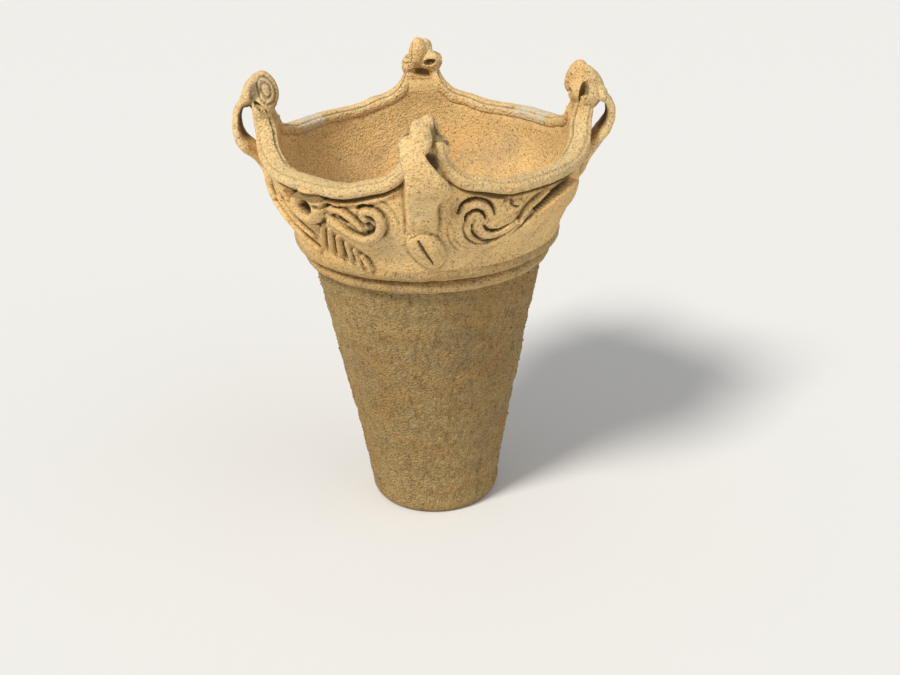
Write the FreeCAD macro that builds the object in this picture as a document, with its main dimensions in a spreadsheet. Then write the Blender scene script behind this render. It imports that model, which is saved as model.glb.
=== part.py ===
import FreeCAD, Part
import math
import os
import Sketcher
from FreeCAD import Placement, Rotation, Vector

# Fired clay deep bowl with a four-peaked crown, in millimetres.
# The axis is Z, the pot stands on Z = 0, and the front peak faces -Y.
# A piece of the crown is drawn on the +X meridian, where X is the radius, Y the way along
# the wall and Z the height, and its Placement then turns it to its own place.

DRIVING_SIZES = {
    "base_radius": 44.0,
    "base_edge_radius": 46.8,
    "base_edge_height": 4.5,
    "floor_radius": 47.2,
    "floor_thickness": 12.0,
    "knee_radius": 54.2,
    "knee_height": 60.0,
    "wall": 8.0,
    "joint_height": 200.0,
    "crown_radius": 107.0,
    "crown_centre": 270.0,
    "cordon_depth": 5.0,
    "cordon_low": 187.5,
    "cordon_groove": 1.6,
    "cordon_high": 212.0,
    "scoop_half_width": 64.5,
    "scoop_corner": 27.0,
    "rim_low": 267.5,
    "lip_thickness": 7.5,
    "lip_inner": 99.5,
    "lip_outer": 112.0,
    "head_seat": 285.0,
    "head_top": 318.5,
    "head_half_width": 15.5,
    "head_inner": 94.5,
    "head_outer": 121.0,
    "head_shoulder": 12.0,
    "head_brow": 17.0,
    "head_knob": 6.5,
    "eyelet_up": 13.5,
    "eyelet_width": 10.5,
    "eyelet_height": 7.0,
    "strap_width": 17.5,
    "strap_offset": -3.0,
    "strap_bow": 31.0,
    "strap_thickness": 7.0,
    "strap_flare": 6.0,
    "column_depth": 5.5,
    "column_low": 243.0,
    "column_high": 255.0,
    "boss_width": 19.0,
    "boss_length": 31.0,
    "boss_height": 227.0,
    "ring_diameter": 21.6,
    "ring_hole": 9.5,
    "ring_depth": 7.0,
    "ring_height": 249.0,
    "ring_along": 1.5,
    "scroll_radius": 11.2,
    "scroll_width": 5.5,
    "scroll_height": 245.8,
    "scroll_along": 4.0,
    "scroll_stem": 24.0,
    "rib_width": 3.0,
    "rib_depth": 2.6,
    "rib_top_height": 242.0,
    "rib_top_along": -8.0,
    "rib_top_spread": 24.0,
    "rib_top_drop": 19.0,
    "rib_foot_height": 225.5,
    "rib_foot_along": -15.0,
    "rib_foot_spread": 32.0,
    "rib_foot_drop": 10.0,
    "spiral_width": 4.4,
    "spiral_pitch": 6.6,
    "spiral_height": 246.0,
    "spiral_along": -2.0,
    "cord_depth": 4.0,
    "blade_depth": 7.5,
    "blade_low": 223.5,
    "blade_high": 257.5,
    "blade_left": -35.5,
    "blade_right": 33.5,
    "blade_thickness": 3.0,
    "blade_under_bend": 60.0,
    "blade_edge_bend": 105.0,
    "band_width": 8.0,
    "band_high": 238.0,
    "band_low": 219.0,
    "band_left": -17.0,
    "band_right": 27.0,
}

# Angles in degrees from the +X axis, anticlockwise seen from above.
PEAKS = {"right": 0.0, "back": 90.0, "left": 180.0, "front": 270.0}
VALLEYS = {"back_right": 45.0, "back_left": 135.0, "front_left": 225.0, "front_right": 315.0}
CROWN_COILS = 4
FLAT_DOUBLINGS = 5
FLAT = 360.0 / 2 ** (FLAT_DOUBLINGS + 1)
RIBS = 6
BOSS_LEAN = 31.0
SCROLL_START = 230
SCROLL_ARC = 70
SCROLL_ARCS = 4
SPIRAL_START = 270
SPIRAL_QUARTERS = 7

# The peak that each relief is set off from, and by how many flats of the wall.
HOOK_SIDES = {"front_left": 270.0, "back_right": 90.0}
SPIRAL_SIDES = {"front_right": 270.0, "back_left": 90.0}
EYELET_RING_FLATS = -8
HOOK_SCROLL_FLATS = -4
RIB_FAN_FLATS = -6
SLANTING_BAND_FLATS = -11
SPIRAL_FLATS = 3
BLADE_FLANGE_FLATS = 7

doc = FreeCAD.newDocument("jomon_pot")
sheet = doc.addObject("Spreadsheet::Sheet", "sizes")
for row, (alias, length) in enumerate(DRIVING_SIZES.items(), start=1):
    sheet.set("A%d" % row, alias)
    sheet.set("B%d" % row, str(length))
    sheet.setAlias("B%d" % row, alias)
doc.recompute()


def number(length):
    return length.value if isinstance(length, Size) else float(length)


def formula(length):
    return length.formula if isinstance(length, Size) else repr(float(length))


class Size:
    """A length together with the sheet formula that it is worked out by."""

    def __init__(self, value, text):
        self.value = value
        self.formula = text

    def __add__(self, other):
        return Size(self.value + number(other), "(%s + %s)" % (self.formula, formula(other)))

    def __sub__(self, other):
        return Size(self.value - number(other), "(%s - %s)" % (self.formula, formula(other)))

    def __mul__(self, other):
        return Size(self.value * number(other), "(%s * %s)" % (self.formula, formula(other)))

    def __neg__(self):
        return Size(-self.value, "(-1 * %s)" % self.formula)

    def root(self):
        return Size(math.sqrt(self.value), "sqrt(%s)" % self.formula)


def size(alias):
    return Size(float(sheet.get(alias)), "sizes.%s" % alias)


def wall_radius(height):
    """Outer radius of the crown, which is part of a ball, at a height."""
    radius = size("crown_radius")
    drop = size("crown_centre") - height
    return (radius * radius - drop * drop).root()


def origin_feature(body, role):
    for feature in body.Origin.OriginFeatures:
        if feature.Role == role:
            return feature
    raise ValueError(role)


def new_sketch(body, role, turn=0.0):
    """Sketch on an origin plane of its body, turned about the pot's axis."""
    sketch = body.newObject("Sketcher::SketchObject", body.Name + "_sketch")
    sketch.AttachmentSupport = [(origin_feature(body, role), "")]
    sketch.MapMode = "FlatFace"
    sketch.AttachmentOffset = Placement(Vector(), Rotation(Vector(0, 1, 0), turn))
    return sketch


def arc_between(start, end, radius):
    """Shorter arc from start to end: a positive radius turns left, a negative one right."""
    chord = end - start
    side = Vector(chord.y, -chord.x, 0).normalize()
    rise = abs(radius) - math.sqrt(radius * radius - chord.Length * chord.Length / 4)
    middle = (start + end) * 0.5 + side * math.copysign(rise, radius)
    if radius > 0:
        return Part.Arc(start, middle, end)
    return Part.Arc(end, middle, start)


def fix_corner(sketch, edge, end, along, up):
    """Hold a corner at its distances from the origin, by the sheet."""
    for kind, axis, length in (("DistanceX", -2, along), ("DistanceY", -1, up)):
        if number(length) == 0.0:
            sketch.addConstraint(Sketcher.Constraint("PointOnObject", edge, end, axis))
            continue
        index = sketch.addConstraint(
            Sketcher.Constraint(kind, -1, 1, edge, end, number(length)))
        if isinstance(length, Size):
            sketch.setExpression("Constraints[%d]" % index, length.formula)


def draw_outline(sketch, corners):
    """Closed outline. A corner is (x, y), or (x, y, radius) where an arc leaves it."""
    points = [Vector(number(corner[0]), number(corner[1]), 0) for corner in corners]
    ends = []
    for index, corner in enumerate(corners):
        start = points[index]
        end = points[(index + 1) % len(points)]
        if len(corner) == 2:
            curve = Part.LineSegment(start, end)
            forward = True
        else:
            curve = arc_between(start, end, number(corner[2]))
            forward = number(corner[2]) > 0
        edge = sketch.addGeometry(curve, False)
        ends.append((edge, 1, 2) if forward else (edge, 2, 1))
    for index, corner in enumerate(corners):
        edge, first, last = ends[index]
        next_edge, next_first, _ = ends[(index + 1) % len(corners)]
        sketch.addConstraint(
            Sketcher.Constraint("Coincident", edge, last, next_edge, next_first))
        fix_corner(sketch, edge, first, corner[0], corner[1])
        if len(corner) == 3:
            radius = corner[2] if number(corner[2]) > 0 else -corner[2]
            place = sketch.addConstraint(Sketcher.Constraint("Radius", edge, number(radius)))
            if isinstance(radius, Size):
                sketch.setExpression("Constraints[%d]" % place, radius.formula)


def revolve(name, corners, sweep=360.0):
    """Outline of radius and height, turned about the axis to both sides of +X."""
    body = doc.addObject("PartDesign::Body", name)
    sketch = new_sketch(body, "XZ_Plane")
    draw_outline(sketch, corners)
    turned = body.newObject("PartDesign::Revolution", name + "_turned")
    turned.Profile = sketch
    turned.ReferenceAxis = (sketch, ["V_Axis"])
    turned.Midplane = True
    turned.Angle = sweep
    doc.recompute()
    return body


def pad_outwards(name, outlines, reach):
    """Outlines seen from outside the pot, carried from the axis out to a radius."""
    body = doc.addObject("PartDesign::Body", name)
    body.AllowCompound = True
    sketch = new_sketch(body, "YZ_Plane")
    for corners in outlines:
        draw_outline(sketch, corners)
    pad = body.newObject("PartDesign::Pad", name + "_pad")
    pad.Profile = sketch
    pad.setExpression("Length", reach.formula)
    doc.recompute()
    return body


def pad_sideways(name, corners, width):
    """Outline in the plane through the axis, given its width along the wall."""
    body = doc.addObject("PartDesign::Body", name)
    sketch = new_sketch(body, "XZ_Plane")
    draw_outline(sketch, corners)
    pad = body.newObject("PartDesign::Pad", name + "_pad")
    pad.Profile = sketch
    pad.SideType = "Symmetric"
    pad.setExpression("Length", width.formula)
    doc.recompute()
    return body


def many_sided(name, side):
    """Round wall of narrow upright flats, as a scraper leaves it, from its outline at one side.

    A slab of that outline is crossed with itself again and again, each time at half the turn.
    """
    outline = side + [(-radius, height) for radius, height in side[::-1]]
    shape = pad_sideways(name + "_slab", outline, size("crown_radius") * 3)
    turn = 90.0
    for doubling in range(FLAT_DOUBLINGS):
        turned = doc.addObject("App::Link", "%s_turned_%d" % (name, doubling))
        turned.LinkedObject = shape
        turned.Placement = Placement(Vector(), Rotation(Vector(0, 0, 1), turn))
        shape = boolean("Common", "%s_flats_%d" % (name, doubling), shape, turned)
        turn *= 0.5
    doc.recompute()
    return shape


def primitive(kind, name, lengths, along=0, up=0, out=0, turn=Rotation()):
    """Part primitive with sizes from the sheet, turned and set at out, along and up."""
    shape = doc.addObject("Part::" + kind, name)
    for length_name, length in lengths.items():
        shape.setExpression(length_name, formula(length))
    shape.Placement = Placement(Vector(), turn)
    for axis, length in (("x", out), ("y", along), ("z", up)):
        shape.setExpression("Placement.Base." + axis, formula(length))
    return shape


def boolean(kind, name, base, tool):
    result = doc.addObject("Part::" + kind, name)
    result.Base = base
    result.Tool = tool
    return result


def joined(name, shapes):
    result = doc.addObject("Part::MultiFuse", name)
    result.Shapes = shapes
    return result


def finish(piece, label, turn=0.0):
    """Name a piece and turn it about the axis to its own place."""
    piece.Label = label
    piece.Placement = Placement(Vector(), Rotation(Vector(0, 0, 1), turn))
    return piece


def laid_on_crown(name, shape, depth):
    """What a shape leaves on the crown, from the crown's skin out to a depth."""
    if depth not in skins:
        skins[depth] = make_core(depth + "_skin", size(depth))
    within = boolean("Common", name + "_within", shape, skins[depth])
    return boolean("Cut", name + "_laid", within, core)


def bar(start, end, width, round_ends=True):
    """Outline of a bar between two points, with round or with square ends."""
    run = Vector(number(end[0]) - number(start[0]), number(end[1]) - number(start[1]), 0)
    run.normalize()
    bend = width * 0.5

    def beside(point, ahead, left):
        along = bend * (run.x * ahead - run.y * left) + point[0]
        up = bend * (run.y * ahead + run.x * left) + point[1]
        return along, up

    if not round_ends:
        return [beside(start, 0, -1), beside(end, 0, -1), beside(end, 0, 1), beside(start, 0, 1)]
    return [
        beside(start, 0, -1),
        beside(end, 0, -1) + (bend,),
        beside(end, 1, 0) + (bend,),
        beside(end, 0, 1),
        beside(start, 0, 1) + (bend,),
        beside(start, -1, 0) + (bend,),
    ]


def on_circle(centre, radius, degrees):
    angle = math.radians(degrees)
    return radius * math.cos(angle) + centre[0], radius * math.sin(angle) + centre[1]


def beyond_crown():
    """Radius that clears every piece of the crown."""
    return size("crown_radius") * 1.3


def crown_up(outward):
    """Corners of the crown's side, one coil of clay after another, moved out from its skin."""
    joint = size("joint_height")
    coil = (size("head_seat") - joint) * (1 / CROWN_COILS)
    heights = [joint + coil * step for step in range(CROWN_COILS + 1)]
    return [(wall_radius(height) + outward, height) for height in heights]


def make_core(name, proud=0.0):
    """Solid within the crown's outer skin, or within a skin that much further out."""
    side = [(size("floor_radius"), size("floor_thickness"))] + crown_up(proud)
    return many_sided(name, side + [(side[-1][0], size("head_top"))])


def make_base_disc():
    """Flat round of clay that the pot is built up on, with its edge turned up."""
    finish(many_sided("base_disc", [
        (size("base_radius"), 0),
        (size("base_edge_radius"), size("base_edge_height")),
        (size("floor_radius"), size("floor_thickness")),
    ]), "base_disc")


def make_lower_body():
    """Tall tapered wall, coiled up from the base to the joint under the crown."""
    skin = [
        (size("floor_radius"), size("floor_thickness")),
        (size("knee_radius"), size("knee_height")),
        (wall_radius(size("joint_height")), size("joint_height")),
    ]
    inside = [(radius - size("wall"), height) for radius, height in skin]
    finish(boolean("Cut", "lower_body_cut", many_sided("lower_body_outside", skin),
                   many_sided("lower_body_inside", inside)), "lower_body")


def make_cordons():
    """Two clay bands about the neck, one each side of the joint, with a groove between."""
    joint = size("joint_height")
    skin = wall_radius(joint)
    depth = size("cordon_depth")
    low = size("cordon_low")
    high = size("cordon_high")
    top_skin = wall_radius(high)
    lower_top = joint - size("cordon_groove") * 0.5
    upper_low = joint + size("cordon_groove") * 0.5
    lower = many_sided("lower_cordon_band", [
        (skin - depth * 0.4, low),
        (skin + depth * 0.8, low + depth * 0.7),
        (skin + depth, lower_top),
    ])
    upper = many_sided("upper_cordon_band", [
        (skin + depth, upper_low),
        (skin + depth * 1.8, joint + depth),
        (top_skin + depth * 0.6, high - depth * 0.3),
        (top_skin, high),
    ])
    finish(boolean("Cut", "lower_cordon_cut", lower, core), "lower_cordon")
    finish(boolean("Cut", "upper_cordon_cut", upper, core), "upper_cordon")


def valley_curve(drop):
    """Rim along a valley, left to right, set down from the lip's top by a drop."""
    half = size("scoop_half_width") + drop
    corner = size("scoop_corner") + drop
    flat = size("scoop_half_width") - size("scoop_corner")
    low = size("rim_low") - drop
    rise = size("rim_low") + size("scoop_corner")
    return [(-half, rise, corner), (-flat, low), (flat, low, corner), (half, rise)]


def make_crown_wall():
    """Ball-shaped wall that flares from the neck, scooped out by the four valleys."""
    body = doc.addObject("PartDesign::Body", "crown_wall_body")
    body.BaseFeature = boolean("Cut", "crown_ring", many_sided("crown_outside", crown_up(0)),
                               many_sided("crown_inside", crown_up(-size("wall"))))
    doc.recompute()
    sketch = new_sketch(body, "YZ_Plane", 45.0)
    under_lip = valley_curve(size("lip_thickness"))
    draw_outline(sketch, under_lip + [
        (under_lip[-1][0], size("head_top")),
        (under_lip[0][0], size("head_top")),
    ])
    scoop = body.newObject("PartDesign::Pocket", "valley_scoop")
    scoop.Profile = sketch
    scoop.Type = "ThroughAll"
    scoop.Reversed = True
    doc.recompute()
    around = body.newObject("PartDesign::PolarPattern", "four_valleys")
    around.Originals = [scoop]
    around.Axis = (origin_feature(body, "Z_Axis"), [""])
    around.Angle = 360.0
    around.Occurrences = 4
    body.Tip = around
    doc.recompute()
    finish(body, "crown_wall")


def make_rim_lip(place, turn):
    """Thick lip along one valley, which overhangs the wall outside."""
    name = "rim_lip_" + place
    left_high, left_low, right_low, right_high = valley_curve(0)
    over = [
        (right_high[0], right_high[1], -right_low[2]),
        (right_low[0], right_low[1]),
        (left_low[0], left_low[1], -left_high[2]),
        (left_high[0], left_high[1]),
    ]
    under_lip = valley_curve(size("lip_thickness"))
    band = pad_outwards(name + "_band", [under_lip + over], beyond_crown())
    below = size("rim_low") - size("lip_thickness") * 2
    ring = revolve(name + "_ring", [
        (size("lip_inner"), below),
        (size("lip_outer"), below),
        (size("lip_outer"), size("head_seat")),
        (size("lip_inner"), size("head_seat")),
    ], 89.0)
    finish(boolean("Common", name + "_common", band, ring), name, turn)


def make_peak_head(place, turn):
    """Pierced finial of a peak: its outline from outside crossed with that from the side."""
    name = "peak_head_" + place
    seat = size("head_seat")
    top = size("head_top")
    half = size("head_half_width")
    shoulder = seat + size("head_shoulder")
    knob = size("head_knob")
    bend = half * 1.7
    outside = pad_outwards(name + "_outside", [[
        (-half * 0.87, seat),
        (half * 0.87, seat),
        (half, shoulder, bend),
        (knob, top - knob),
        (knob * 0.4, top),
        (knob * -0.4, top),
        (-knob, top - knob, bend),
        (-half, shoulder),
    ]], beyond_crown())
    inner = size("head_inner")
    outer = size("head_outer")
    middle = (inner + outer) * 0.5
    brow = seat + size("head_brow")
    cleft_depth = knob * 0.8
    side = pad_sideways(name + "_side", [
        (size("lip_inner"), seat),
        (size("lip_outer"), seat),
        (outer - 3, seat + 8),
        (outer, brow, half * 1.3),
        (middle + 4, top),
        (middle + 2, top - cleft_depth),
        (middle, top, half),
        (inner, brow + 2),
    ], half * 2.2)
    bend = size("eyelet_height") * 0.5
    eye = seat + size("eyelet_up")
    eye_right = -bend - 1
    eye_left = eye_right - size("eyelet_width") + size("eyelet_height")
    eyelet = pad_outwards(name + "_eyelet", [
        bar((eye_left, eye), (eye_right, eye), size("eyelet_height")),
    ], middle - 1)
    hollow = primitive("Cylinder", name + "_hollow", {"Radius": bend * 1.3, "Height": half},
                       along=-half * 1.5, up=eye + 1.5, out=middle - 2,
                       turn=Rotation(Vector(1, 0, 0), -90))
    pierced = boolean("Cut", name + "_pierced",
                      boolean("Common", name + "_solid", outside, side),
                      joined(name + "_holes", [eyelet, hollow]))
    finish(pierced, name, turn)


def make_strap_handle(place, turn):
    """Flat strap that springs from a head, bows down to the wall and flares to one side."""
    name = "strap_handle_" + place
    seat = size("head_seat")
    outer = size("head_outer")
    foot = size("column_high")
    thickness = size("strap_thickness")
    root = size("crown_radius") - 2
    proud = size("crown_radius") + size("column_depth")
    bow = size("strap_bow")
    side = pad_sideways(name + "_side", [
        (root, foot),
        (proud, foot),
        (outer - 1, foot + thickness, bow),
        (outer, seat + size("head_brow")),
        (outer - 3, seat + 8, thickness * 1.5 - bow),
        (proud, foot + thickness * 1.7),
        (root, foot + thickness * 1.6),
    ], size("strap_width") * 3)
    left = size("strap_offset") - size("strap_width") * 0.5
    right = size("strap_offset") + size("strap_width") * 0.5
    narrow = right - thickness
    outside = pad_outwards(name + "_outside", [[
        (left, foot),
        (right, foot),
        (right + size("strap_flare"), foot + thickness * 2.3),
        (narrow, seat + size("eyelet_up")),
        (narrow, seat + size("head_brow")),
        (left, seat + size("head_brow")),
    ]], beyond_crown())
    strap = boolean("Common", name + "_strap", side, outside)
    finish(boolean("Cut", name + "_cut", strap, core), name, turn)


def make_column(place, turn):
    """Raised strip that carries the strap's foot down the wall to the boss."""
    name = "column_" + place
    half = size("strap_width") * 0.5
    middle = size("strap_offset")
    strip = pad_outwards(name + "_strip", [[
        (middle - half, size("column_low")),
        (middle + half, size("column_low")),
        (middle + half, size("column_high")),
        (middle - half, size("column_high")),
    ]], beyond_crown())
    finish(laid_on_crown(name, strip, "column_depth"), name, turn)


def make_boss(place, turn):
    """Oval boss that leans across the foot of a column."""
    name = "boss_" + place
    lean = math.radians(BOSS_LEAN)
    reach = (size("boss_length") - size("boss_width")) * 0.5
    top = (reach * -math.sin(lean), reach * math.cos(lean) + size("boss_height"))
    foot = (reach * math.sin(lean), reach * -math.cos(lean) + size("boss_height"))
    oval = pad_outwards(name + "_oval", [bar(foot, top, size("boss_width"))], beyond_crown())
    finish(laid_on_crown(name, oval, "cord_depth"), name, turn)


def make_eyelet_ring(place, turn):
    """Thick ring that stands square to the crown's skin."""
    name = "eyelet_ring_" + place
    drop = number(size("crown_centre") - size("ring_height"))
    tilt = math.degrees(math.asin(drop / number(size("crown_radius"))))
    square = Rotation(Vector(0, 1, 0), 90 + tilt)
    reach = size("crown_radius") + size("ring_depth")
    disc = primitive("Cylinder", name + "_disc", {
        "Radius": size("ring_diameter") * 0.5, "Height": reach,
    }, along=size("ring_along"), up=size("crown_centre"), turn=square)
    hole = primitive("Cylinder", name + "_hole", {
        "Radius": size("ring_hole") * 0.5, "Height": reach + 1,
    }, along=size("ring_along"), up=size("crown_centre"), turn=square)
    ring = boolean("Cut", name + "_ring", disc, hole)
    finish(boolean("Cut", name + "_laid", ring, core), name, turn + EYELET_RING_FLATS * FLAT)


def make_hook_scroll(place, turn):
    """Cord of clay that runs down from the eyelet and curls up into a hook."""
    name = "hook_scroll_" + place
    centre = (size("scroll_along"), size("scroll_height"))
    outer = size("scroll_radius")
    inner = outer - size("scroll_width")
    curl = [SCROLL_START + SCROLL_ARC * step for step in range(SCROLL_ARCS + 1)]
    outline = [on_circle(centre, outer, angle) + (outer,) for angle in curl[:-1]]
    outline.append(on_circle(centre, outer, curl[-1]))
    outline += [on_circle(centre, inner, angle) + (-inner,) for angle in curl[:0:-1]]
    low = on_circle(centre, outer, SCROLL_START)
    high = on_circle(centre, inner, SCROLL_START)
    outline.append(high)
    outline.append(on_circle(high, size("scroll_stem"), SCROLL_START - 90))
    outline.append(on_circle(low, size("scroll_stem"), SCROLL_START - 90))
    hook = pad_outwards(name + "_hook", [outline], beyond_crown())
    finish(laid_on_crown(name, hook, "cord_depth"), name, turn + HOOK_SCROLL_FLATS * FLAT)


def make_rib_fan(place, turn):
    """Six ribs that fan out below the hook, each shorter than the last."""
    name = "rib_fan_" + place
    ribs = []
    for step in range(RIBS):
        share = step / (RIBS - 1)
        top = (size("rib_top_along") + size("rib_top_spread") * share,
               size("rib_top_height") - size("rib_top_drop") * share)
        foot = (size("rib_foot_along") + size("rib_foot_spread") * share,
                size("rib_foot_height") - size("rib_foot_drop") * share)
        ribs.append(bar(foot, top, size("rib_width"), round_ends=False))
    fan = pad_outwards(name + "_ribs", ribs, beyond_crown())
    finish(laid_on_crown(name, fan, "rib_depth"), name, turn + RIB_FAN_FLATS * FLAT)


def make_slanting_band(place, turn):
    """Band of clay that slants down from beside a peak to the neck."""
    name = "slanting_band_" + place
    slant = bar((size("band_left"), size("band_high")),
                (size("band_right"), size("band_low")), size("band_width"))
    band = pad_outwards(name + "_band", [slant], beyond_crown())
    finish(laid_on_crown(name, band, "cord_depth"), name, turn + SLANTING_BAND_FLATS * FLAT)


def make_spiral(place, turn):
    """Spiral ridge of quarter arcs, struck from two centres by turns."""
    name = "spiral_" + place
    half_step = size("spiral_pitch") * 0.5
    half_width = size("spiral_width") * 0.5
    start = SPIRAL_START
    quarters = range(SPIRAL_QUARTERS)
    along = size("spiral_along")
    centres = [(along, size("spiral_height")), (along, size("spiral_height") - half_step)]

    def edge(quarter, side):
        radius = half_step * (quarter // 2 + 1) + half_width * side
        return centres[quarter // 2 % 2], radius

    outline = []
    for quarter in quarters:
        centre, radius = edge(quarter, 1)
        outline.append(on_circle(centre, radius, start + 90 * quarter) + (radius,))
    centre, radius = edge(quarters[-1], 1)
    outline.append(on_circle(centre, radius, start + 90 * len(quarters)))
    for quarter in reversed(quarters):
        centre, radius = edge(quarter, -1)
        outline.append(on_circle(centre, radius, start + 90 * (quarter + 1)) + (-radius,))
    centre, radius = edge(0, -1)
    outline.append(on_circle(centre, radius, start))
    ridge = pad_outwards(name + "_ridge", [outline], beyond_crown())
    finish(laid_on_crown(name, ridge, "cord_depth"), name, turn + SPIRAL_FLATS * FLAT)


def make_blade_flange(place, turn):
    """Crescent flange that sweeps up from below the spiral and stands well proud."""
    name = "blade_flange_" + place
    low = size("blade_low")
    blade = pad_outwards(name + "_blade", [[
        (size("blade_left"), low, size("blade_under_bend")),
        (size("blade_right"), size("blade_high"), -size("blade_edge_bend")),
        (size("blade_left"), low + size("blade_thickness")),
    ]], beyond_crown())
    finish(laid_on_crown(name, blade, "blade_depth"), name, turn + BLADE_FLANGE_FLATS * FLAT)


def check_document(names):
    """Stop if a feature failed or a piece has no sound solid."""
    doc.recompute()
    for feature in doc.Objects:
        if "Invalid" in feature.State or "Error" in feature.State:
            raise RuntimeError("failed feature: %s" % feature.Name)
    pieces = {feature.Label: feature for feature in doc.Objects if feature.Label in names}
    for name in names:
        shape = pieces[name].Shape
        if shape.isNull() or not shape.isValid() or not shape.Solids:
            raise RuntimeError("no sound solid: %s" % name)
    return pieces


core = make_core("core")
skins = {}
make_base_disc()
make_lower_body()
make_cordons()
make_crown_wall()
for valley, valley_turn in VALLEYS.items():
    make_rim_lip(valley, valley_turn)
for peak, peak_turn in PEAKS.items():
    make_peak_head(peak, peak_turn)
    make_strap_handle(peak, peak_turn)
    make_column(peak, peak_turn)
    make_boss(peak, peak_turn)
for hook_side, side_turn in HOOK_SIDES.items():
    make_eyelet_ring(hook_side, side_turn)
    make_hook_scroll(hook_side, side_turn)
    make_rib_fan(hook_side, side_turn)
    make_slanting_band(hook_side, side_turn)
for spiral_side, side_turn in SPIRAL_SIDES.items():
    make_spiral(spiral_side, side_turn)
    make_blade_flange(spiral_side, side_turn)

NODES = ["base_disc", "lower_body", "lower_cordon", "upper_cordon", "crown_wall"]
NODES += ["rim_lip_" + valley for valley in VALLEYS]
for kind in ("peak_head_", "strap_handle_", "column_", "boss_"):
    NODES += [kind + peak for peak in PEAKS]
for kind in ("eyelet_ring_", "hook_scroll_", "rib_fan_", "slanting_band_"):
    NODES += [kind + hook_side for hook_side in HOOK_SIDES]
for kind in ("spiral_", "blade_flange_"):
    NODES += [kind + spiral_side for spiral_side in SPIRAL_SIDES]

pieces = check_document(NODES)
os.makedirs("parts", exist_ok=True)
for name, piece in pieces.items():
    piece.Shape.exportStep("parts/%s.step" % name)
print("%d pieces" % len(pieces))
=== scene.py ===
import math

import bmesh
import bpy
import numpy as np
from bpy.props import FloatProperty, FloatVectorProperty, IntProperty, PointerProperty
from mathutils import Matrix, Vector, noise


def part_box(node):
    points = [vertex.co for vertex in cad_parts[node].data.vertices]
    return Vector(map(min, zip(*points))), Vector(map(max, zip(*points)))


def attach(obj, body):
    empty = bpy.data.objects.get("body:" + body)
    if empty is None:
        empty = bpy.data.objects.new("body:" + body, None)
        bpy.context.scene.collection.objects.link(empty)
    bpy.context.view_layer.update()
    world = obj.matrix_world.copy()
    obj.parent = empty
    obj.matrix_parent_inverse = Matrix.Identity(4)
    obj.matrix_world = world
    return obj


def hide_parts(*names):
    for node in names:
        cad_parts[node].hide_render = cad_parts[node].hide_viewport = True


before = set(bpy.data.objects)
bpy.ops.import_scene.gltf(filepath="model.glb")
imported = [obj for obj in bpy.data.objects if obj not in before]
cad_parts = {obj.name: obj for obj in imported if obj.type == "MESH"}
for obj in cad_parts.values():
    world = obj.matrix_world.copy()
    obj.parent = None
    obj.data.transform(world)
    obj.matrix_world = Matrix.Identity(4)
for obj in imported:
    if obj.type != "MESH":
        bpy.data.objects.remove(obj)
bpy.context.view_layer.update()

bl_info = {
    "name": "Crowned Clay Jar",
    "version": (1, 0, 0),
    "blender": (4, 5, 0),
    "location": "3D View > Sidebar > Clay Jar",
    "description": "Models the fired clay of a deep jar with a four-peaked crown",
    "category": "Mesh",
}

# Lengths are in millimetres until a mesh is made. Angles round the pot are in degrees.
MM = 0.001
PEAKS = {"right": 0.0, "back": 90.0, "left": 180.0, "front": 270.0}
VALLEYS = {"back_right": 45.0, "back_left": 135.0, "front_left": 225.0, "front_right": 315.0}
HOOK_MERIDIANS = {"front_left": 270.0, "back_right": 90.0}
SPIRAL_MERIDIANS = {"front_right": 270.0, "back_left": 90.0}


def frame_size(node, corner, axis):
    """One coordinate of a node's box in the frame, in millimetres."""
    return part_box(node)[corner][axis] / MM


CROWN_RADIUS = frame_size("crown_wall", 1, 0)
CROWN_TOP = frame_size("crown_wall", 1, 2)
JOINT_HEIGHT = frame_size("crown_wall", 0, 2)
POT_TOP = frame_size("peak_head_front", 1, 2)
CROWN_CENTRE = 270.0
WALL = 8.0
FLOOR = 12.0
VALLEY_HALF_WIDTH = 64.5
VALLEY_CORNER = 27.0
LIP_RADIUS = 105.5
RELIEF_RADIUS = CROWN_RADIUS * 0.96
EASE_HEIGHT = 3.2
EASE_PLACE = 46.0
EASE_REACH = 10.0
FINISHES = {
    "body_clay": "fired_body",
    "cordon_clay": "fired_cordon",
    "crown_clay": "fired_crown",
    "relief_clay": "fired_relief",
}


# Shapes of the pot


def crown_skin(height):
    """Outer radius of the crown at a height."""
    drop = np.asarray(height, float) - CROWN_CENTRE
    return np.sqrt(CROWN_RADIUS ** 2 - drop ** 2)


def rim_height(across, low):
    """Height of the valley's curve at a distance across from its middle."""
    past = np.clip(np.abs(across) - (VALLEY_HALF_WIDTH - VALLEY_CORNER), 0.0, VALLEY_CORNER * 0.999)
    return low + VALLEY_CORNER - np.sqrt(VALLEY_CORNER ** 2 - past ** 2) + eased(across)


def eased(across):
    """Extra height that makes the valley's corners gentler."""
    return EASE_HEIGHT * np.exp(-((np.abs(across) - EASE_PLACE) / EASE_REACH) ** 2)


def from_valley(azimuth):
    """Angle from the middle of the nearest valley, within 45 degrees."""
    return np.asarray(azimuth) % 90.0 - 45.0


def wrapped(degrees):
    """Angle brought within half a turn either way."""
    return (degrees + 180.0) % 360.0 - 180.0


def soft_step(low, high, value):
    """Share from 0 to 1 that rises smoothly between two values, or falls if they're swapped."""
    share = np.clip((value - low) / (high - low), 0.0, 1.0)
    return share * share * (3.0 - 2.0 * share)


def lumps(points, grain, octaves=3, seed=0.0):
    """Smooth random height, about -1 to 1, at each point, for lumps of a size in mm."""
    offset = Vector((seed * 7.3, seed * 3.1, seed * 5.7))
    return np.array([
        noise.fractal(Vector(point) / grain + offset, 1.0, 2.0, octaves) for point in points])


# Meshes


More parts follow.
